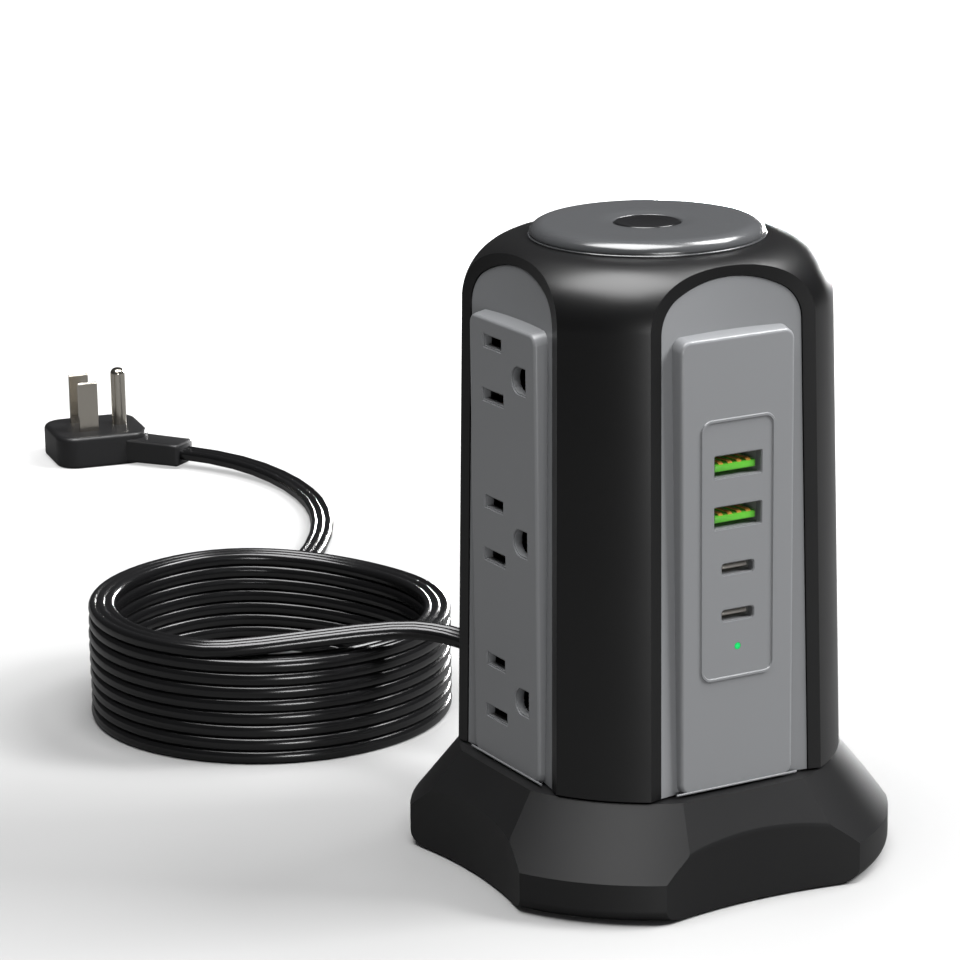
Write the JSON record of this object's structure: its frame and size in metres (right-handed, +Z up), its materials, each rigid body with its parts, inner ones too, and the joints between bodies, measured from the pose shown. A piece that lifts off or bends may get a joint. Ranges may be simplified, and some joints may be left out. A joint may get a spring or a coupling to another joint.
{
  "type": "tower power strip",
  "caption": "Round tower power strip on a splayed foot, with mains outlets on three sides, USB sockets on the fourth, a push button on top and a coiled flat cord.",
  "frame": {"origin": "on the tower's axis, at the underside of the rubber feet", "axes": "+Z up the tower; -Y out of the USB face; +X out of the outlet face to its right"},
  "size_m": [0.1525, 0.4694, 0.1505],
  "materials": {
    "body_black": "satin black, smooth moulded",
    "base_black": "matt black, fine texture",
    "panel_grey": "satin mid grey, smooth moulded",
    "disc_grey": "satin dark grey, rim polished",
    "button_black": "gloss black",
    "spring_steel": "bright wire",
    "screw_steel": "zinc plated",
    "contact_brass": "bare spring brass",
    "contact_gold": "gold plated",
    "tongue_green": "moulded lime green",
    "tongue_dark": "dark moulded",
    "shell_steel": "stamped and plated",
    "led_green": "clear light guide, lit green",
    "board_green": "glass laminate with solder mask",
    "ferrite": "sintered ferrite",
    "winding": "yellow winding tape",
    "cap_sleeve": "dark blue sleeve",
    "varistor_blue": "dipped blue epoxy",
    "inner_white": "moulded off-white",
    "inner_black": "moulded dark",
    "reset_red": "moulded red",
    "foot_rubber": "matt rubber",
    "cord_black": "smooth black sheath",
    "lead_black": "insulated core"
  },
  "bodies": {
    "tower": {"base_cover": "base_black", "base_housing": "base_black", "base_screws": "screw_steel", "body_shell": "body_black", "breaker_body": "inner_black", "breaker_terminals": "contact_brass", "button_spring": "spring_steel", "capacitors": "cap_sleeve", "contact_tray_left": "inner_white", "contact_tray_rear": "inner_white", "contact_tray_right": "inner_white", "cord_coil": "cord_black", "cord_lead": "cord_black", "cord_tail": "cord_black", "frame_screws": "screw_steel", "ground_rail_left": "contact_brass", "ground_rail_rear": "contact_brass", "ground_rail_right": "contact_brass", "inner_frame": "inner_black", "inner_leads": "lead_black", "line_rail_left": "contact_brass", "line_rail_rear": "contact_brass", "line_rail_right": "contact_brass", "neutral_rail_left": "contact_brass", "neutral_rail_rear": "contact_brass", "neutral_rail_right": "contact_brass", "outlet_panel_left": "panel_grey", "outlet_panel_rear": "panel_grey", "outlet_panel_right": "panel_grey", "plug_blades": "contact_brass", "plug_body": "cord_black", "plug_ground_pin": "contact_brass", "rubber_feet": "foot_rubber", "status_led": "led_green", "strain_relief": "cord_black", "surge_board": "board_green", "switch_body": "inner_white", "top_disc": "disc_grey", "transformer_core": "ferrite", "transformer_winding": "winding", "usb_a_contacts": "contact_gold", "usb_a_shells": "shell_steel", "usb_a_tongues": "tongue_green", "usb_board": "board_green", "usb_c_shells": "shell_steel", "usb_c_tongues": "tongue_dark", "usb_panel": "panel_grey", "varistors": "varistor_blue"},
    "button": {"power_button": "button_black", "switch_plunger": "inner_black"},
    "reset": {"breaker_reset_button": "reset_red"}
  },
  "joints": [
    {"name": "power_press", "type": "slide", "parent": "tower", "child": "button", "axis": [0, 0, -1], "range_m": [0, 0.0025], "stiffness_N_per_m": 700, "springref_m": -0.001, "deforming": ["button_spring"]},
    {"name": "reset_press", "type": "slide", "parent": "tower", "child": "reset", "axis": [0, 0, 1], "range_m": [0, 0.002], "stiffness_N_per_m": 900, "springref_m": -0.001}
  ]
}
